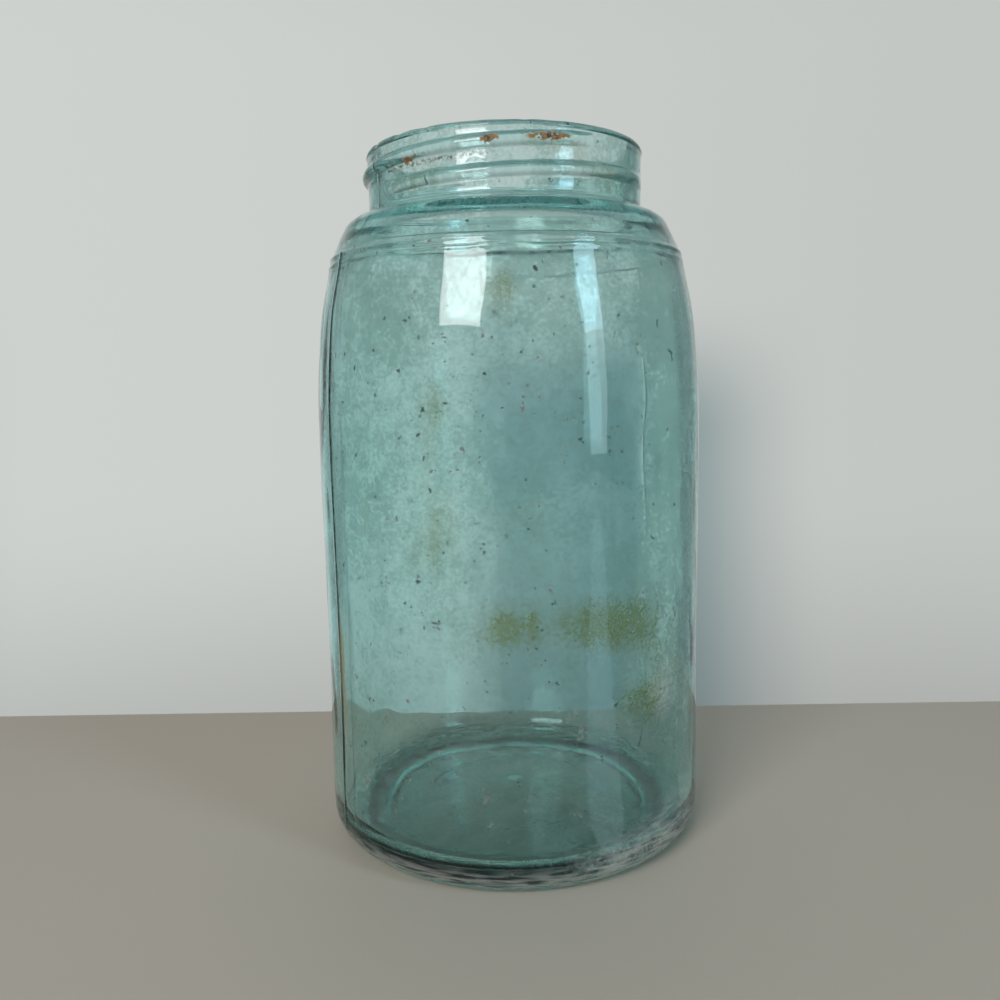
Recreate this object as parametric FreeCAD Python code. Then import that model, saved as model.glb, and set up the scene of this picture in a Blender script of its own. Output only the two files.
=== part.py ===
import FreeCAD, Part
import math
import os

V = FreeCAD.Vector

# ---------------------------------------------------------------------------
# One-quart canning jar, open mouth, pressed glass in one piece.  Units: mm.
# The jar stands on z = 0, its axis is the Z axis, the front faces -Y.
# ---------------------------------------------------------------------------

# overall
height = 176.0            # bearing ring to ground lip
body_r = 49.7             # widest outside radius of the body
wall = 3.6                # body wall (the shoulder is blown a little thinner)

# base
bear_in_r = 36.6          # bearing ring, inner edge
bear_out_r = 42.6         # bearing ring, outer edge
heel_r = 7.0              # outside heel rounding
pushup = 3.0              # hollow of the underside at its middle
floor_z = 4.8             # inside floor at its edge
floor_dome = 2.2          # rise of the inside floor at its middle
heel_in_r = 6.5           # inside heel rounding

# shoulder
step_z = 149.3            # mould ring round the shoulder
step_r = 45.05
step_in = 0.30            # how far the glass steps in above the ring
step_h = 0.45
ledge_r = 41.75           # soft corner where the shoulder turns to the neck
ledge_z = 156.0

# neck and lip
neck_root_z = 161.2
neck_r = 34.85            # outside of the neck at its root
neck_top_r = 34.95
lip_r = 35.2
lip_z = 174.6
mouth_r = 31.35           # inside of the mouth
neck_in_z = 162.4         # where the inside turns out into the shoulder

# outside body curve (radius, height) between heel and mould ring
body_curve = [(body_r - 0.02, 10.0), (body_r - 0.14, 30.0), (body_r - 0.18, 55.0),
              (body_r - 0.02, 80.0), (body_r + 0.08, 100.0), (body_r - 0.14, 115.0),
              (body_r - 0.93, 127.0), (body_r - 1.92, 136.0), (46.35, 143.0)]

# thread: one right-handed round ridge, broken once near the mould seam
thread_mid_z = 171.45     # ridge middle at the front, upper turn
thread_pitch = 6.4
thread_sway = 0.35        # the turns lean a little to one side
thread_w = 3.3            # width of the ridge at the neck wall
thread_h = 1.30           # how far the ridge stands out
thread_root = 1.6         # how far the ridge body reaches into the wall
runs = [(42.0, -240.0, 20.0, 26.0),     # start, end, fade in, fade out (deg)
        (-276.0, -416.0, 26.0, 22.0)]
run_step = 7.0            # spacing of the ridge sections


def P(r, z):
    return V(r, 0.0, z)


def line(a, b):
    return Part.LineSegment(P(*a), P(*b)).toShape()


def arc(a, m, b):
    return Part.Arc(P(*a), P(*m), P(*b)).toShape()


def cap(r, z, rise, outwards):
    """Dome of a sphere centred on the axis, from its edge (r, z) to its top."""
    big = (r * r + rise * rise) / (2.0 * rise)
    mid = (r * 0.5, z + rise - big + math.sqrt(big * big - r * r * 0.25))
    ends = [(0.0, z + rise), (r, z)]
    if not outwards:
        ends.reverse()
    return arc(ends[0], mid, ends[1])


def curve(pts):
    s = Part.BSplineCurve()
    s.interpolate([P(*q) for q in pts])
    return s.toShape()


# ---------------------------------------------------------------------------
# section of the wall, walked from the middle of the underside to the lip and
# back down the inside
# ---------------------------------------------------------------------------
in_r = body_r - 0.1 - wall                      # inside of the body
heel_c = (bear_out_r, heel_r)
heel_end = (bear_out_r + heel_r, heel_r)
s45 = math.sin(math.radians(45.0))

edges = []
# underside: shallow hollow, small rounding on to the bearing ring
edges.append(cap(34.6, 0.75, pushup - 0.75, True))
edges.append(arc((34.6, 0.75), (35.5, 0.24), (bear_in_r, 0.0)))
edges.append(line((bear_in_r, 0.0), (bear_out_r, 0.0)))
# heel
edges.append(arc((bear_out_r, 0.0),
                 (heel_c[0] + heel_r * s45, heel_c[1] - heel_r * s45), heel_end))
# body
edges.append(curve([heel_end] + body_curve + [(step_r, step_z)]))
# mould ring and shoulder cone
step_top = (step_r - step_in, step_z + step_h)
edges.append(line((step_r, step_z), step_top))
edges.append(line(step_top, (ledge_r, ledge_z)))
# soft corner, ledge, hollow root of the neck
edges.append(arc((ledge_r, ledge_z), (40.85, 157.45), (39.4, 158.55)))
edges.append(arc((39.4, 158.55), (37.6, 159.35), (35.75, 159.95)))
edges.append(arc((35.75, 159.95), (35.12, 160.40), (neck_r, neck_root_z)))
# neck and lip, ground flat on top
edges.append(line((neck_r, neck_root_z), (neck_top_r, lip_z - 0.5)))
edges.append(line((neck_top_r, lip_z - 0.5), (lip_r, lip_z)))
edges.append(arc((lip_r, lip_z), (lip_r - 0.40, height - 0.41), (lip_r - 1.40, height)))
edges.append(line((lip_r - 1.40, height), (mouth_r + 1.2, height)))
edges.append(arc((mouth_r + 1.2, height), (mouth_r + 0.35, height - 0.35),
                 (mouth_r, height - 1.2)))
# inside: neck, shoulder, body, heel, floor
edges.append(line((mouth_r, height - 1.2), (mouth_r - 0.05, neck_in_z)))
edges.append(curve([(mouth_r - 0.05, neck_in_z), (31.50, 160.5), (32.50, 158.75),
                    (34.95, 157.05), (37.70, 155.3), (40.10, 152.4), (42.05, 148.2),
                    (43.40, 142.9), (44.35, 137.7), (45.15, 130.0),
                    (in_r - 0.28, 120.5), (in_r, 112.0)]))
edges.append(line((in_r, 112.0), (in_r, floor_z + heel_in_r)))
hc = (in_r - heel_in_r, floor_z + heel_in_r)
edges.append(arc((in_r, hc[1]), (hc[0] + heel_in_r * s45, hc[1] - heel_in_r * s45),
                 (hc[0], floor_z)))
edges.append(cap(hc[0], floor_z, floor_dome, False))
edges.append(line((0.0, floor_z + floor_dome), (0.0, pushup)))

section = Part.Face(Part.Wire(edges))
jar = section.revolve(V(0, 0, 0), V(0, 0, 1), 360.0)


# ---------------------------------------------------------------------------
# thread ridges, lofted through rounded sections that sink into the neck
# at both ends
# ---------------------------------------------------------------------------
def smooth(t):
    t = max(0.0, min(1.0, t))
    return t * t * (3.0 - 2.0 * t)


def thread_z(deg):
    return (thread_mid_z + thread_pitch * deg / 360.0
            + thread_sway * math.sin(math.radians(deg)))


def ridge_section(deg, h):
    a = math.radians(deg)
    ux, uy = math.sin(a), -math.cos(a)

    def q(r, z):
        return V(r * ux, r * uy, z)

    zc = thread_z(deg)
    w = thread_w / 2.0
    r0 = neck_r - thread_root
    r1 = neck_r - 0.10
    crest = neck_r + h
    lo_in, lo = q(r0, zc - w), q(r1, zc - w)
    hi, hi_in = q(r1, zc + w), q(r0, zc + w)
    top = Part.Arc(lo, q(crest, zc), hi).toShape()
    return Part.Wire([Part.LineSegment(lo_in, lo).toShape(), top,
                      Part.LineSegment(hi, hi_in).toShape(),
                      Part.LineSegment(hi_in, lo_in).toShape()])


for start, end, fade_in, fade_out in runs:
    n = int(round(abs(end - start) / run_step))
    wires = []
    for i in range(n + 1):
        d = start + (end - start) * i / n
        k = smooth(abs(d - start) / fade_in) * smooth(abs(end - d) / fade_out)
        wires.append(ridge_section(d, -0.05 + (thread_h + 0.05) * k))
    ridge = Part.makeLoft(wires, True, False)
    jar = jar.fuse(ridge)

if jar.ShapeType != "Solid":
    jar = jar.Solids[0] if len(jar.Solids) == 1 else jar

print("solids", len(jar.Solids), "valid", jar.isValid(), "volume cm3",
      round(jar.Volume / 1000.0, 1))
os.makedirs("parts", exist_ok=True)
jar.exportStep("parts/glass_jar.step")
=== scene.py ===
import bpy
import math
import numpy as np
from mathutils import Matrix


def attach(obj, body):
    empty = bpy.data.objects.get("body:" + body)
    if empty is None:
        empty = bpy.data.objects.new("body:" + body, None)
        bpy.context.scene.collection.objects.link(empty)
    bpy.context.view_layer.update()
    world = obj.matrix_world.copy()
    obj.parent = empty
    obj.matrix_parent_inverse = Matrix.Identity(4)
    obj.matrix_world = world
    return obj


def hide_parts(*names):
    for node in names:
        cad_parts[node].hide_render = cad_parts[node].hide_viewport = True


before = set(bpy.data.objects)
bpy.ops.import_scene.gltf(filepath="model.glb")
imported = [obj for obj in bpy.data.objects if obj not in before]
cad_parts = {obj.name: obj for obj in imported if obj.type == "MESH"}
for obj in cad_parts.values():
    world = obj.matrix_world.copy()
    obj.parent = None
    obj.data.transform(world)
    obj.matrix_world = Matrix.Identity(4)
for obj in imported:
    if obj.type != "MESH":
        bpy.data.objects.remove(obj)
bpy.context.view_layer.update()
scene = bpy.context.scene

MM = 0.001

# ---------------------------------------------------------------------------
# sizes, mm (the jar stands on z = 0, front is -Y, azimuth 0 is the front and
# grows towards +X)
# ---------------------------------------------------------------------------
SEAMS = (-60.0, 120.0)
THREAD_MID, PITCH, SWAY = 171.45, 6.4, 0.35
THREAD_W, THREAD_H = 3.3, 1.30
RUNS = ((42.0, -240.0, 20.0, 26.0), (-276.0, -416.0, 26.0, 22.0))
RING_Z = 149.3


# ---------------------------------------------------------------------------
# small helpers
# ---------------------------------------------------------------------------
def smooth(t):
    t = np.clip(t, 0.0, 1.0)
    return t * t * (3.0 - 2.0 * t)


def value_noise(az_deg, v, waves, rows, seed):
    """Smooth noise, periodic round the jar: waves cells round, rows cells per unit of v."""
    rng = np.random.RandomState(seed)
    tab = rng.uniform(-1.0, 1.0, (waves, 64))
    u = (np.mod(az_deg, 360.0) / 360.0) * waves
    w = np.mod(v * rows + 7.31, 64.0)
    iu, iw = np.floor(u).astype(int), np.floor(w).astype(int)
    fu, fw = u - iu, w - iw
    fu = fu * fu * (3 - 2 * fu)
    fw = fw * fw * (3 - 2 * fw)
    i0, i1 = iu % waves, (iu + 1) % waves
    j0, j1 = iw % 64, (iw + 1) % 64
    return ((tab[i0, j0] * (1 - fu) + tab[i1, j0] * fu) * (1 - fw)
            + (tab[i0, j1] * (1 - fu) + tab[i1, j1] * fu) * fw)


def arc_pts(a, m, b, n):
    """n + 1 points on the circle through a, m, b."""
    ax, ay = a
    bx, by = m
    cx, cy = b
    d = 2.0 * (ax * (by - cy) + bx * (cy - ay) + cx * (ay - by))
    ux = ((ax * ax + ay * ay) * (by - cy) + (bx * bx + by * by) * (cy - ay)
          + (cx * cx + cy * cy) * (ay - by)) / d
    uy = ((ax * ax + ay * ay) * (cx - bx) + (bx * bx + by * by) * (ax - cx)
          + (cx * cx + cy * cy) * (bx - ax)) / d
    r = math.hypot(ax - ux, ay - uy)
    t0 = math.atan2(ay - uy, ax - ux)
    tm = math.atan2(by - uy, bx - ux)
    t1 = math.atan2(cy - uy, cx - ux)
    two = 2.0 * math.pi
    up = (t1 - t0) % two
    if (tm - t0) % two > up:
        up -= two
    return [(ux + r * math.cos(t0 + up * i / n), uy + r * math.sin(t0 + up * i / n))
            for i in range(n + 1)]


def natural_spline(ts, ys, t):
    """Natural cubic spline through (ts, ys), at t."""
    ts, ys = np.asarray(ts, float), np.asarray(ys, float)
    n = len(ts)
    h = np.diff(ts)
    a = np.zeros((n, n))
    b = np.zeros(n)
    a[0, 0] = a[-1, -1] = 1.0
    for i in range(1, n - 1):
        a[i, i - 1], a[i, i], a[i, i + 1] = h[i - 1], 2 * (h[i - 1] + h[i]), h[i]
        b[i] = 3 * ((ys[i + 1] - ys[i]) / h[i] - (ys[i] - ys[i - 1]) / h[i - 1])
    c = np.linalg.solve(a, b)
    i = np.clip(np.searchsorted(ts, t) - 1, 0, n - 2)
    s = t - ts[i]
    k1 = (ys[i + 1] - ys[i]) / h[i] - h[i] * (2 * c[i] + c[i + 1]) / 3
    k3 = (c[i + 1] - c[i]) / (3 * h[i])
    return ys[i] + k1 * s + c[i] * s * s + k3 * s ** 3


# ---------------------------------------------------------------------------
# wall section: (radius, height, skin), skin 0 outside, 1 inside
# ---------------------------------------------------------------------------
rows = []


def put(pts, skin):
    for r, z in pts:
        if not rows or math.hypot(rows[-1][0] - r, rows[-1][1] - z) > 1e-4:
            rows.append((r, z, skin))


def cap_z(r, edge_r, edge_z, rise):
    big = (edge_r ** 2 + rise ** 2) / (2 * rise)
    return edge_z + rise - big + math.sqrt(big * big - r * r)


# underside hollow, bearing ring, heel
under = [1.5, 4, 7, 10, 13, 16, 19, 20.6, 21.2, 21.7, 22.1, 22.5, 22.9, 23.3, 23.8, 24.6,
         26.5, 29, 32, 34.6]
put([(r, cap_z(r, 34.6, 0.75, 2.25)) for r in under], 0)
put(arc_pts((34.6, 0.75), (35.5, 0.24), (36.6, 0.0), 4), 0)
put([(38.0, 0.0), (40.0, 0.0), (41.6, 0.0), (42.6, 0.0)], 0)
s45 = math.sin(math.radians(45))
put(arc_pts((42.6, 0.0), (42.6 + 7 * s45, 7 - 7 * s45), (49.6, 7.0), 11), 0)
# body
body_t = [7.0, 10.0, 30.0, 55.0, 80.0, 100.0, 115.0, 127.0, 136.0, 143.0, 149.3]
body_r = [49.6, 49.68, 49.56, 49.52, 49.68, 49.78, 49.56, 48.77, 47.78, 46.35, 45.05]
body_z = list(np.arange(9.2, 144.9, 2.35)) + list(np.arange(145.2, 149.31, 0.32))
put([(float(natural_spline(body_t, body_r, z)), float(z)) for z in body_z], 0)
put([(45.05, 149.3), (44.93, 149.5), (44.75, 149.75), (44.55, 150.1)], 0)
cone = lambda z: 44.75 + (41.75 - 44.75) * (z - 149.75) / (156.0 - 149.75)
put([(cone(z), z) for z in (150.7, 151.5, 152.6, 153.8, 155.0, 156.0)], 0)
put(arc_pts((41.75, 156.0), (40.85, 157.45), (39.4, 158.55), 7), 0)
put(arc_pts((39.4, 158.55), (37.6, 159.35), (35.75, 159.95), 6), 0)
put(arc_pts((35.75, 159.95), (35.12, 160.40), (34.85, 161.2), 5), 0)
# neck with the thread, lip
put([(34.85 + 0.1 * (z - 161.2) / 12.9, float(z)) for z in np.arange(161.5, 174.2, 0.30)], 0)
put([(34.95, 174.15), (35.08, 174.35), (35.2, 174.6)], 0)
put(arc_pts((35.2, 174.6), (34.80, 175.59), (33.8, 176.0), 6), 0)
put([(33.3, 176.0), (32.9, 176.0)], 0)
put(arc_pts((32.55, 176.0), (31.70, 175.65), (31.35, 174.8), 6), 1)
# inside
put([(31.35 - 0.05 * (174.8 - z) / 12.8, float(z)) for z in np.arange(173.9, 162.6, -0.95)], 1)
in_rr = [31.30, 31.50, 32.50, 34.95, 37.70, 40.10, 42.05, 43.40, 44.35, 45.15, 45.72, 46.0]
in_zz = [162.4, 160.5, 158.75, 157.05, 155.3, 152.4, 148.2, 142.9, 137.7, 130.0, 120.5, 112.0]
in_t = [0.0] + np.cumsum(np.hypot(np.diff(in_rr), np.diff(in_zz))).tolist()
for t in np.linspace(0.0, in_t[-1], 44):
    put([(float(natural_spline(in_t, in_rr, t)), float(natural_spline(in_t, in_zz, t)))], 1)
put([(46.0, float(z)) for z in np.arange(109.6, 12.5, -2.4)], 1)
put(arc_pts((46.0, 11.3), (39.5 + 6.5 * s45, 11.3 - 6.5 * s45), (39.5, 4.8), 11), 1)
put([(r, cap_z(r, 39.5, 4.8, 2.2))
     for r in (37.5, 35, 32, 29, 26, 23, 20, 17, 14, 11, 8, 5, 2)], 1)

prof = np.array([(a, b) for a, b, c in rows])
skin = np.array([c for a, b, c in rows], float)
tang = np.gradient(prof, axis=0)
tang /= np.linalg.norm(tang, axis=1)[:, None]
norm = np.stack([tang[:, 1], -tang[:, 0]], 1)      # points away from the glass

# columns: even, with finer ones across the mould seams
cols = set(np.round(np.arange(0.0, 360.0, 1.25), 4))
for s in SEAMS:
    for d in np.arange(-1.8, 1.81, 0.30):
        cols.add(round((s + d) % 360.0, 4))
az = np.array(sorted(cols))
keep = [0]
for i in range(1, len(az)):
    if az[i] - az[keep[-1]] > 0.2:
        keep.append(i)
az = az[keep]

R = np.repeat(prof[:, 0:1], len(az), 1)
Z = np.repeat(prof[:, 1:2], len(az), 1)
NR = np.repeat(norm[:, 0:1], len(az), 1)
NZ = np.repeat(norm[:, 1:2], len(az), 1)
SK = np.repeat(skin[:, None], len(az), 1)
AZ = np.repeat(az[None, :], len(prof), 0)
AZS = (AZ + 180.0) % 360.0 - 180.0

outside = 1.0 - SK
offset = np.zeros_like(R)

# --- uneven hand-fed glass: slow swells, stronger on the inside -------------
fade = smooth(R / 20.0)
outer_body = outside * smooth((Z - 3.0) / 8.0) * smooth((150.0 - Z) / 6.0)
offset += outer_body * (0.05 * value_noise(AZ, Z / 100.0, 7, 3.0, 11)
                        + 0.010 * value_noise(AZ, Z / 100.0, 19, 9.0, 12))
inner_body = SK * smooth((160.0 - Z) / 14.0) * fade
offset += inner_body * (0.40 * value_noise(AZ, Z / 100.0, 5, 2.2, 21)
                        + 0.09 * value_noise(AZ, Z / 100.0, 13, 4.0, 22)
                        + 0.02 * value_noise(AZ, Z / 100.0, 34, 6.0, 23))
# the inside floor is lumpy, with a few folds left by the gather
XX, YY = R * np.sin(np.radians(AZ)), -R * np.cos(np.radians(AZ))
low = SK * smooth((9.0 - Z) / 2.0) * smooth((40.0 - R) / 4.0)
lump = (np.sin(XX / 3.1 + 0.7 + 0.9 * np.sin(YY / 5.3)) * np.sin(YY / 4.3 + 1.9 * np.sin(XX / 9.0))
        + 0.6 * np.sin(XX / 1.7 + YY / 6.1 + 2.0) * np.sin(YY / 2.3 + 0.5))
offset += low * 0.16 * lump * fade + low * 0.55 * np.exp(-((XX - 3.0) / 9.0) ** 2 - ((YY - 4.0) / 8.0) ** 2)

# --- mould seams -------------------------------------------------------------
for s in SEAMS:
    d = (AZ - s + 180.0) % 360.0 - 180.0
    mm = np.radians(d) * R
    high = 0.20 * smooth((Z - 1.5) / 4.0) * smooth((150.0 - Z) / 1.0) \
        + 0.10 * smooth((Z - 156.0) / 3.0) * smooth((174.0 - Z) / 2.0)
    offset += outside * high * np.exp(-0.5 * (mm / 0.38) ** 2)

# --- mould ring round the shoulder, and an uneven line just below it ---------
bead = np.exp(-0.5 * ((Z - RING_Z + 0.15) / 0.33) ** 2)
offset += outside * bead * (0.20 + 0.10 * value_noise(AZ, Z * 0, 37, 1.0, 31))
zl = 147.25 + 0.35 * value_noise(AZ, Z * 0, 31, 1.0, 32) + 0.15 * value_noise(AZ, Z * 0, 90, 1.0, 33)
line2 = np.exp(-0.5 * ((Z - zl) / 0.30) ** 2)
offset += outside * line2 * (0.14 + 0.12 * value_noise(AZ, Z * 0, 60, 1.0, 34))

# --- valve mark under the base ----------------------------------------------
under_zone = outside * (Z < 3.3) * (R < 34.0)
offset += under_zone * (-0.12) * np.exp(-0.5 * ((R - 22.5) / 0.33) ** 2)

# --- thread -------------------------------------------------------------------
neck = outside * (Z > 160.5) * (Z < 175.2)
best = np.zeros_like(R)
for start, end, fin, fout in RUNS:
    for turn in range(-2, 3):
        D = AZS + 360.0 * turn
        inside = (D <= start) & (D >= end)
        k = smooth(np.abs(D - start) / fin) * smooth(np.abs(end - D) / fout) * inside
        zc = THREAD_MID + PITCH * D / 360.0 + SWAY * np.sin(np.radians(D)) \
            + 0.07 * value_noise(AZ, Z * 0 + turn, 23, 1.0, 41)
        t = np.abs(Z - zc) / (THREAD_W * 0.5)
        ridge = np.where(t < 1.0, (1.0 - np.clip(t, 0, 1) ** 2.2) ** 0.85, 0.0)
        best = np.maximum(best, k * ridge)
offset_r = neck * best * THREAD_H * (1.0 + 0.05 * value_noise(AZ, Z / 10.0, 50, 5.0, 42))

# --- ground lip, uneven and nicked -------------------------------------------
lip = smooth((Z - 174.2) / 1.2)
offset_z = -lip * (0.10 + 0.10 * value_noise(AZ, Z * 0, 9, 1.0, 51)
                   + 0.05 * value_noise(AZ, Z * 0, 57, 1.0, 52))
nick = smooth((value_noise(AZ, Z * 0, 47, 1.0, 53) - 0.45) / 0.4)
offset += -outside * lip * smooth((R - 33.2) / 1.2) * nick * 0.45

R2 = R + NR * offset + offset_r
Z2 = Z + NZ * offset + offset_z
Z2 = np.maximum(Z2, 0.0)

a = np.radians(AZ)
X = R2 * np.sin(a) * MM
Y = -R2 * np.cos(a) * MM
n_row, n_col = R.shape
verts = np.stack([X, Y, Z2 * MM], 2).reshape(-1, 3)
bottom = np.array([[0.0, 0.0, cap_z(0.0, 34.6, 0.75, 2.25) * MM]])
floor_c = np.array([[0.0, 0.0, cap_z(0.0, 39.5, 4.8, 2.2) * MM]])
verts = np.vstack([verts, bottom, floor_c])
ib, it = n_row * n_col, n_row * n_col + 1

faces = []
for j in range(n_col):
    j2 = (j + 1) % n_col
    faces.append((ib, j2, j))
    last = (n_row - 1) * n_col
    faces.append((it, last + j, last + j2))
grid = np.arange(n_row * n_col).reshape(n_row, n_col)
right = np.roll(grid, -1, 1)
quads = np.stack([grid[:-1], right[:-1], right[1:], grid[1:]], 2).reshape(-1, 4)
faces += [tuple(q) for q in quads.tolist()]

mesh = bpy.data.meshes.new("jar_glass")
mesh.from_pydata(verts.tolist(), [], faces)
mesh.update()
for p in mesh.polygons:
    p.use_smooth = True

# ---------------------------------------------------------------------------
# where the dirt lies, and the painted shade under the thread: soft masks per point, broken up later by noise
# ---------------------------------------------------------------------------
def blob(az0, z0, half_mm, half_z, power, side):
    d = (AZ - az0 + 180.0) % 360.0 - 180.0
    mm = np.radians(d) * np.maximum(R, 5.0)
    q = (mm / half_mm) ** 2 + ((Z - z0) / half_z) ** 2
    on = outside if side == 0 else SK
    return power * np.exp(-q) * on


rust = np.zeros_like(R)
for b in ((-4.9, 171.5, 2.2, 1.1, 1.25, 0), (13.0, 171.9, 4.0, 0.9, 0.95, 0),
          (20.0, 172.2, 4.5, 0.9, 1.05, 0), (-38.0, 168.9, 3.2, 0.8, 0.85, 0),
          (-30.0, 169.8, 5.0, 0.6, 0.5, 0), (47.0, 164.9, 5.5, 1.0, 0.45, 0),
          (2.0, 165.4, 7.0, 0.9, 0.35, 0), (28.0, 169.0, 5.0, 1.2, 0.35, 0),
          (150.0, 168.0, 9.0, 1.2, 0.8, 0), (-130.0, 170.0, 8.0, 1.0, 0.7, 0)):
    rust += blob(*b)

brown = np.zeros_like(R)
for b in ((-3.0, 64.5, 7.0, 4.5, 0.75, 1), (23.5, 63.5, 8.0, 4.5, 0.85, 1),
          (31.5, 60.5, 6.0, 5.0, 0.8, 1), (40.5, 61.0, 5.0, 6.0, 0.7, 1),
          (12.0, 62.0, 14.0, 3.6, 0.60, 1),
          (-20.0, 112.0, 3.2, 5.5, 0.75, 1), (-18.0, 88.0, 3.5, 8.0, 0.5, 1),
          (-24.0, 81.0, 4.5, 6.0, 0.5, 1), (-2.0, 138.0, 4.0, 4.5, 0.65, 1),
          (36.6, 43.5, 5.0, 4.5, 0.8, 1), (45.0, 42.0, 5.0, 4.0, 0.6, 1),
          (-58.5, 50.0, 1.2, 9.0, 1.5, 0), (-57.5, 36.0, 0.9, 9.0, 0.7, 0),
          (20.0, 170.6, 9.0, 1.4, 0.45, 0), (-36.0, 168.0, 6.0, 1.2, 0.45, 0), (44.0, 165.5, 9.0, 1.6, 0.5, 0),
          (27.0, 167.8, 4.0, 1.5, 0.4, 0), (12.0, 66.5, 10.0, 3.0, 0.35, 1), (33.0, 66.0, 9.0, 3.0, 0.55, 1),
          (50.0, 45.0, 8.0, 16.0, 0.5, 1),
          (215.0, 100.0, 6.0, 14.0, 0.35, 1), (120.0, 40.0, 12.0, 5.0, 0.4, 1)):
    brown += blob(*b)

brown += 0.38 * low + blob(-38.0, 164.5, 8.0, 2.2, 0.4, 1) + blob(48.0, 164.0, 8.0, 2.5, 0.4, 1)
haze = 0.28 * SK * np.ones_like(R) \
    + (0.16 + 0.32 * SK) * smooth((Z - 112.0) / 32.0) * smooth((161.0 - Z) / 4.0) \
    + 0.30 * smooth((Z - 159.0) / 4.0)
for b in ((52.0, 105.0, 22.0, 55.0, 0.55, 1), (60.0, 40.0, 16.0, 26.0, 0.35, 1),
          (-40.0, 95.0, 26.0, 45.0, 0.35, 1), (-45.0, 30.0, 14.0, 16.0, 0.2, 1),
          (180.0, 90.0, 60.0, 50.0, 0.3, 1), (45.0, 7.0, 22.0, 5.0, 1.0, 0),
          (62.0, 40.0, 9.0, 20.0, 0.25, 0), (53.0, 95.0, 6.5, 75.0, 1.1, 1),
          (47.0, 45.0, 6.0, 7.0, 0.9, 0)):
    haze = haze + blob(*b)
# painted shade: a dark line just under the thread ridge, on the front-left of the neck
painted_thread_shade = neck * (0.15 + 0.85 * np.clip(
    np.exp(-0.5 * ((Z - (168.75 + PITCH * AZS / 360.0)) / 0.45) ** 2) *
    smooth((AZS + 62.0) / 12.0) * smooth((4.0 - AZS) / 12.0), 0, 1))

scuff = outside * smooth((8.5 - Z) / 5.0) * smooth((R - 33.0) / 3.0) * 0.85 \
    + outside * smooth((2.0 - Z) / 1.5) * smooth((R - 33.0) / 2.0) * 0.5
for b in ((45.0, 6.0, 20.0, 5.5, 0.7, 0), (52.0, 13.0, 12.0, 6.0, 0.35, 0),
          (47.0, 44.0, 5.0, 6.0, 0.55, 0)):
    scuff = scuff + blob(*b)


# uneven spread of the dirt: broad clouds, small mottling, runs down the wall
along = np.concatenate([[0.0], np.cumsum(np.hypot(*np.diff(prof, axis=0).T))])
S = np.repeat(along[:, None], len(az), 1) / 100.0


def spread(v, lo, hi, a, b):
    return a + (b - a) * smooth((v * 0.5 + 0.5 - lo) / (hi - lo))


cloud = 0.65 * value_noise(AZ, S, 21, 4.6, 61) + 0.35 * value_noise(AZ, S, 43, 9.5, 62)
mottle = 0.6 * value_noise(AZ, S, 76, 15.0, 63) + 0.4 * value_noise(AZ, S, 128, 22.0, 64)
runs_down = value_noise(AZ, S, 118, 5.5, 65)
haze = haze * spread(cloud, 0.25, 0.75, 0.50, 1.35) * spread(mottle, 0.25, 0.75, 0.80, 1.20)
brown = brown * spread(runs_down, 0.2, 0.8, 0.75, 1.20) * spread(mottle, 0.2, 0.8, 0.80, 1.20)
scuff = scuff + outside * 0.08 * spread(cloud, 0.45, 0.8, 0.0, 1.0) * smooth((Z - 12.0) / 10.0) \
    * smooth((150.0 - Z) / 4.0)

# clean glass is left fully clean
haze, brown, rust, scuff = (np.maximum(v - 0.03, 0.0) for v in (haze, brown, rust, scuff))


def attribute(name, data, pole0, pole1):
    layer = mesh.attributes.new(name, "FLOAT", "POINT")
    vals = np.concatenate([data.reshape(-1), [pole0, pole1]]).astype(np.float32)
    layer.data.foreach_set("value", vals)


attribute("rust", np.clip(rust, 0, 1.5), 0, 0)
attribute("brown", np.clip(brown, 0, 1.5), 0, 0)
attribute("haze", np.clip(haze, 0, 1.5), 0.3, 0.3)
attribute("painted_thread_shade", np.clip(painted_thread_shade, 0, 1.5), 0, 0)
attribute("scuff", np.clip(scuff, 0, 1.5), 0, 0)
attribute("skin", SK, 0, 1)

jar = bpy.data.objects.new("jar_glass", mesh)
scene.collection.objects.link(jar)


# ---------------------------------------------------------------------------
# glass
# ---------------------------------------------------------------------------
mat = bpy.data.materials.new("aqua_glass")
mat.use_nodes = True
nt = mat.node_tree
nt.nodes.clear()
N = nt.nodes.new
L = nt.links.new


def math_node(op, a, b=None, clamp=False):
    n = N("ShaderNodeMath")
    n.operation = op
    n.use_clamp = clamp
    for i, v in enumerate((a, b)):
        if v is None:
            continue
        if isinstance(v, (int, float)):
            n.inputs[i].default_value = v
        else:
            L(v, n.inputs[i])
    return n.outputs[0]


def attr(name):
    n = N("ShaderNodeAttribute")
    n.attribute_name = name
    return n.outputs["Fac"]


def remap(v, lo, hi, a=0.0, b=1.0):
    n = N("ShaderNodeMapRange")
    n.interpolation_type = "SMOOTHSTEP"
    L(v, n.inputs["Value"])
    n.inputs["From Min"].default_value = lo
    n.inputs["From Max"].default_value = hi
    n.inputs["To Min"].default_value = a
    n.inputs["To Max"].default_value = b
    return n.outputs["Result"]


coord = N("ShaderNodeTexCoord").outputs["Object"]


def noise(scale, detail, rough, stretch=(1, 1, 1), shift=(0, 0, 0)):
    m = N("ShaderNodeMapping")
    m.inputs["Scale"].default_value = stretch
    m.inputs["Location"].default_value = shift
    L(coord, m.inputs["Vector"])
    n = N("ShaderNodeTexNoise")
    n.inputs["Scale"].default_value = scale
    n.inputs["Detail"].default_value = detail
    n.inputs["Roughness"].default_value = rough
    L(m.outputs[0], n.inputs["Vector"])
    return n.outputs["Fac"]


def mix_colour(f, a, b):
    n = N("ShaderNodeMix")
    n.data_type = "RGBA"
    n.clamp_factor = True
    L(f, n.inputs[0])
    for v, s in ((a, n.inputs[6]), (b, n.inputs[7])):
        if isinstance(v, tuple):
            s.default_value = v
        else:
            L(v, s)
    return n.outputs[2]


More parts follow.
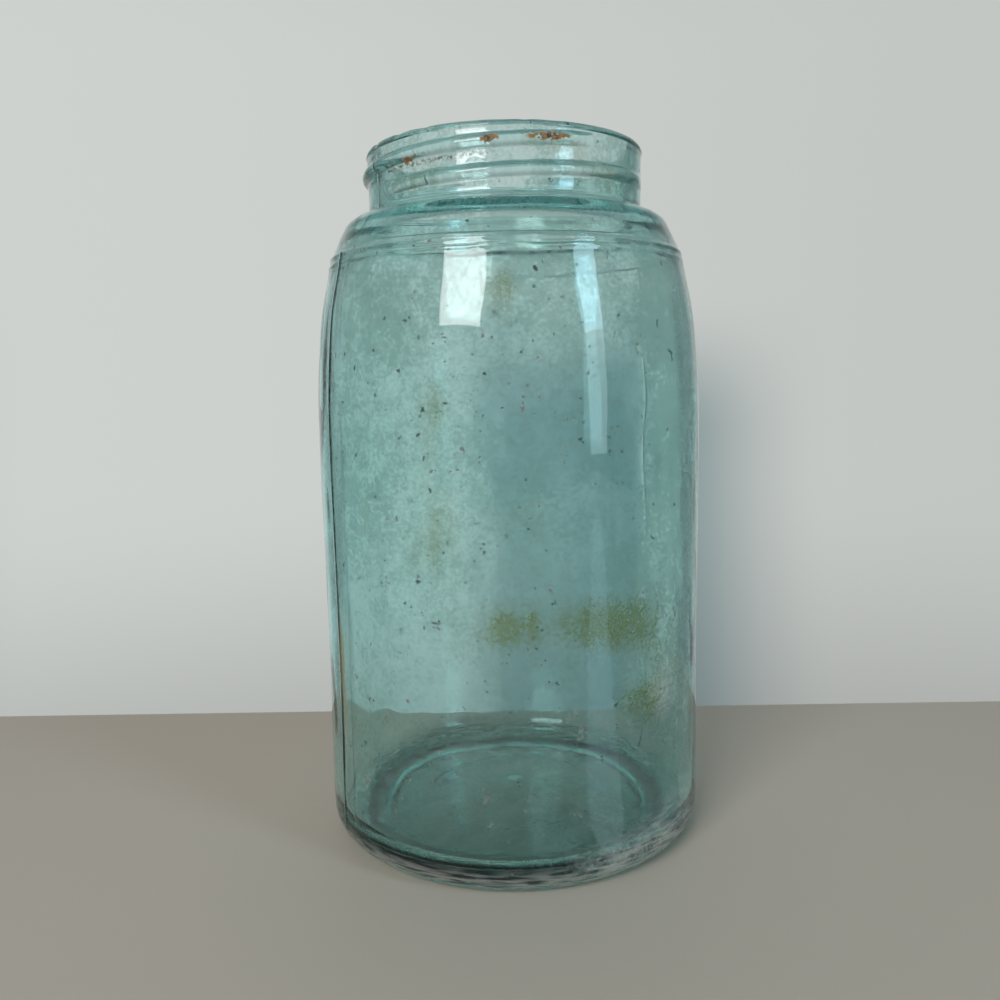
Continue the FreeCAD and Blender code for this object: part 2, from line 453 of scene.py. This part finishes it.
fine = noise(1050.0, 1.0, 0.65)
mid = noise(240.0, 2.0, 0.70, shift=(3, 1, 2))
ripple = noise(170.0, 0.0, 0.5, stretch=(1, 1, 0.4), shift=(2, 2, 7))
skin_in = attr("skin")

# small dark specks and seeds in the glass
speck_m = math_node("MULTIPLY", remap(mid, 0.69, 0.72), remap(fine, 0.42, 0.52))

# rust: crusty, broken patches on the thread
rust_m = math_node("ADD", remap(fine, 0.36, 0.60), remap(mid, 0.30, 0.70))
rust_m = remap(math_node("MULTIPLY", attr("rust"), rust_m), 0.45, 1.05)
# olive-brown film, mostly on the inside
brown_m = math_node("MULTIPLY", attr("brown"), remap(fine, 0.30, 0.70, 0.70, 1.25), clamp=True)
brown_m = math_node("SUBTRACT", brown_m, 0.04, clamp=True)
# painted shade: a dark line just under the thread ridge on the front-left of the neck
painted_thread_shade_m = math_node("MULTIPLY", remap(attr("painted_thread_shade"), 0.25, 0.95), remap(fine, 0.42, 0.60))
# grey bloom, mottled
haze_m = math_node("MULTIPLY", attr("haze"), remap(mid, 0.32, 0.68, 0.45, 1.50))
haze_m = math_node("MULTIPLY", haze_m, remap(fine, 0.30, 0.70, 0.40, 1.60), clamp=True)
haze_m = math_node("MULTIPLY", math_node("SUBTRACT", haze_m, 0.08, clamp=True), 1.30, clamp=True)

# worn, scratched glass on the heel
scratch = noise(560.0, 0.0, 0.6, stretch=(0.35, 0.35, 2.6), shift=(4, 4, 1))
scuff_m = math_node("MULTIPLY", attr("scuff"), remap(scratch, 0.30, 0.70, 0.15, 1.25), clamp=True)
scuff_m = math_node("SUBTRACT", scuff_m, 0.04, clamp=True)

clean = (0.975, 0.99, 0.99, 1.0)
bloom = (0.70, 0.79, 0.74, 1.0)
col = mix_colour(haze_m, clean, bloom)
col = mix_colour(math_node("MULTIPLY", brown_m, 0.95), col, (0.50, 0.42, 0.14, 1.0))
col = mix_colour(scuff_m, col, (0.60, 0.60, 0.54, 1.0))
rust_c = mix_colour(remap(fine, 0.4, 0.62), (0.055, 0.028, 0.012, 1.0), (0.36, 0.185, 0.055, 1.0))
col = mix_colour(rust_m, col, rust_c)
# the painted shade under the thread, nearly black
col = mix_colour(math_node("MULTIPLY", painted_thread_shade_m, 0.9), col, (0.05, 0.055, 0.04, 1.0))
col = mix_colour(math_node("MULTIPLY", speck_m, 0.8), col, (0.04, 0.06, 0.05, 1.0))

trans = math_node("SUBTRACT", 1.0, math_node("MULTIPLY", haze_m, 0.24))
trans = math_node("SUBTRACT", trans, math_node("MULTIPLY", brown_m, 0.28))
trans = math_node("SUBTRACT", trans, math_node("MULTIPLY", scuff_m, 0.45))
trans = math_node("SUBTRACT", trans, math_node("MULTIPLY", rust_m, 0.85))
# the painted shade under the thread also lets less light through
trans = math_node("SUBTRACT", trans, math_node("MULTIPLY", painted_thread_shade_m, 0.55))
trans = math_node("SUBTRACT", trans, math_node("MULTIPLY", speck_m, 0.6), clamp=True)

rough = math_node("MULTIPLY", haze_m,
                  math_node("ADD", 0.015, math_node("MULTIPLY", skin_in, 0.14)))
rough = math_node("ADD", rough, math_node("MULTIPLY", brown_m, 0.15))
rough = math_node("ADD", rough, math_node("MULTIPLY", scuff_m, 0.30))
rough = math_node("ADD", rough, math_node("MULTIPLY", rust_m, 0.55), clamp=True)

height = math_node("MULTIPLY", ripple, math_node("ADD", 0.7, math_node("MULTIPLY", skin_in, 1.1)))
bump = N("ShaderNodeBump")
bump.inputs["Strength"].default_value = 0.14
bump.inputs["Distance"].default_value = 0.0006
L(height, bump.inputs["Height"])

bsdf = N("ShaderNodeBsdfPrincipled")
bsdf.inputs["IOR"].default_value = 1.5
L(col, bsdf.inputs["Base Color"])
L(trans, bsdf.inputs["Transmission Weight"])
L(rough, bsdf.inputs["Roughness"])
L(bump.outputs[0], bsdf.inputs["Normal"])
vol = N("ShaderNodeVolumeAbsorption")
vol.inputs["Color"].default_value = (0.17, 0.875, 0.865, 1.0)
vol.inputs["Density"].default_value = 82.0
out = N("ShaderNodeOutputMaterial")
L(bsdf.outputs[0], out.inputs["Surface"])
L(vol.outputs[0], out.inputs["Volume"])
mesh.materials.append(mat)

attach(jar, "root")
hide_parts("glass_jar")

# ---------------------------------------------------------------------------
# stage: pale table top, pale surroundings
# ---------------------------------------------------------------------------
def plain_material(name, colour, roughness):
    m = bpy.data.materials.new(name)
    m.use_nodes = True
    b = m.node_tree.nodes["Principled BSDF"]
    b.inputs["Base Color"].default_value = colour
    b.inputs["Roughness"].default_value = roughness
    return m


x0, x1, y0, y1, th = -0.75, 0.75, -0.70, 0.077, 0.02
fv = [(x0, y0, 0), (x1, y0, 0), (x1, y1, 0), (x0, y1, 0),
      (x0, y0, -th), (x1, y0, -th), (x1, y1, -th), (x0, y1, -th)]
ff = [(0, 1, 2, 3), (7, 6, 5, 4), (0, 4, 5, 1), (1, 5, 6, 2), (2, 6, 7, 3), (3, 7, 4, 0)]
fm = bpy.data.meshes.new("floor")
fm.from_pydata(fv, [], ff)
floor = bpy.data.objects.new("floor", fm)
scene.collection.objects.link(floor)
fm.materials.append(plain_material("floor_plain", (0.62, 0.55, 0.47, 1.0), 0.6))

world = bpy.data.worlds.new("World")
scene.world = world
world.use_nodes = True
wt = world.node_tree
wt.nodes.clear()
W = wt.nodes.new
WL = wt.links.new


def wmath(op, a, b=None, clamp=False):
    n = W("ShaderNodeMath")
    n.operation = op
    n.use_clamp = clamp
    for i, v in enumerate((a, b)):
        if v is None:
            continue
        if isinstance(v, (int, float)):
            n.inputs[i].default_value = v
        else:
            WL(v, n.inputs[i])
    return n.outputs[0]


def wremap(v, lo, hi, a, b):
    n = W("ShaderNodeMapRange")
    n.interpolation_type = "SMOOTHSTEP"
    WL(v, n.inputs["Value"])
    n.inputs["From Min"].default_value = lo
    n.inputs["From Max"].default_value = hi
    n.inputs["To Min"].default_value = a
    n.inputs["To Max"].default_value = b
    return n.outputs["Result"]


sep = W("ShaderNodeSeparateXYZ")
WL(W("ShaderNodeTexCoord").outputs["Generated"], sep.inputs[0])
dx, dy, dz = sep.outputs
light = wremap(dy, -0.30, 0.70, 0.38, 1.0)                 # brightest behind the jar
light = wmath("MULTIPLY", light, wremap(dz, -0.45, -0.10, 0.66, 1.0))
light = wmath("MULTIPLY", light, wremap(dz, 0.30, 0.75, 1.0, 0.62))
light = wmath("MULTIPLY", light, wremap(dx, -0.5, 0.6, 1.03, 0.90))
light = wmath("MULTIPLY", light, wremap(wmath("ABSOLUTE", dx), 0.46, 0.66, 1.0, 0.48))
# soft shadow behind and to the right of the jar
sh = wmath("MULTIPLY", wremap(dx, -0.085, 0.005, 0.0, 0.86), wremap(dx, 0.16, 0.33, 1.0, 0.0))
sh = wmath("ADD", sh, wmath("MULTIPLY", wremap(dx, 0.06, 0.15, 0.0, 0.16), wremap(dx, 0.16, 0.26, 1.0, 0.0)))
sh = wmath("MULTIPLY", sh, wremap(dz, -0.06, 0.09, 1.0, 0.0))
sh = wmath("MULTIPLY", sh, wremap(dy, 0.2, 0.6, 0.0, 1.0), clamp=True)
tint = W("ShaderNodeMix")
tint.data_type = "RGBA"
WL(sh, tint.inputs[0])
tint.inputs[6].default_value = (0.60, 0.625, 0.605, 1.0)
tint.inputs[7].default_value = (0.245, 0.325, 0.335, 1.0)
bg = W("ShaderNodeBackground")
WL(tint.outputs[2], bg.inputs["Color"])
WL(light, bg.inputs["Strength"])
wo = W("ShaderNodeOutputWorld")
WL(bg.outputs[0], wo.inputs["Surface"])


def softbox(name, az_deg, el_deg, dist, w, h, power, colour):
    ld = bpy.data.lights.new(name, "AREA")
    ld.shape = "RECTANGLE"
    ld.size, ld.size_y = w, h
    ld.energy = power
    ld.color = colour
    ob = bpy.data.objects.new(name, ld)
    scene.collection.objects.link(ob)
    ra, re = math.radians(az_deg), math.radians(el_deg)
    away = np.array([math.sin(ra) * math.cos(re), -math.cos(ra) * math.cos(re), math.sin(re)])
    pos = np.array([0.0, 0.0, 0.12]) + dist * away
    side = np.array([math.cos(ra), math.sin(ra), 0.0])
    up = np.cross(away, side)
    m = Matrix.Identity(4)
    for i in range(3):
        m[i][0], m[i][1], m[i][2], m[i][3] = side[i], up[i], away[i], pos[i]
    ob.matrix_world = m
    ob.visible_camera = False
    return ob


softbox("window_left", -26.0, 27.0, 1.2, 0.50, 0.56, 7.0, (1.0, 1.0, 1.0))
softbox("window_right", 50.5, 22.5, 1.2, 0.26, 0.46, 2.6, (0.52, 0.84, 1.0))
softbox("window_right_low", 51.0, 3.35, 1.2, 0.24, 0.352, 0.75, (0.70, 0.93, 1.0))
glare = bpy.data.lights.new("glare", "AREA")
glare.shape = "ELLIPSE"
glare.size, glare.size_y = 0.056, 0.60
glare.energy = 0.075
glare.color = (0.55, 0.85, 1.0)
glare_ob = bpy.data.objects.new("glare", glare)
scene.collection.objects.link(glare_ob)
ga = math.radians(51.0)
out_x, out_y = math.sin(ga), -math.cos(ga)
# lies just above the floor, long side pointing away from the jar, shining up
cols3 = ((out_y, -out_x, 0.0), (-out_x, -out_y, 0.0), (0.0, 0.0, -1.0))
gm = Matrix.Identity(4)
for i in range(3):
    for k in range(3):
        gm[k][i] = cols3[i][k]
gm[0][3], gm[1][3], gm[2][3] = 0.023 + 0.312 * out_x, -0.043 + 0.312 * out_y, 0.002
glare_ob.matrix_world = gm
glare_ob.visible_camera = False
glare_ob.visible_transmission = False

# ---------------------------------------------------------------------------
# camera
# ---------------------------------------------------------------------------
FOCAL_PX, DIST, EYE = 925.0, 0.2478, 0.11821
pitch, roll, yaw = math.radians(7.278), math.radians(-1.087), math.radians(-0.615)
fw = np.array([math.sin(yaw) * math.cos(pitch), math.cos(yaw) * math.cos(pitch), -math.sin(pitch)])
rt = np.cross(fw, [0, 0, 1.0])
rt /= np.linalg.norm(rt)
up = np.cross(rt, fw)
r2 = math.cos(roll) * rt + math.sin(roll) * up
u2 = -math.sin(roll) * rt + math.cos(roll) * up
cam = bpy.data.cameras.new("camera")
cam.sensor_width = 36.0
cam.lens = FOCAL_PX * 36.0 / 1000.0
cam.clip_start = 0.01
cam_ob = bpy.data.objects.new("camera", cam)
scene.collection.objects.link(cam_ob)
m = Matrix.Identity(4)
for i in range(3):
    m[i][0], m[i][1], m[i][2] = r2[i], u2[i], -fw[i]
m[0][3], m[1][3], m[2][3] = 0.0, -DIST, EYE
cam_ob.matrix_world = m
scene.camera = cam_ob

scene.view_settings.view_transform = "Standard"
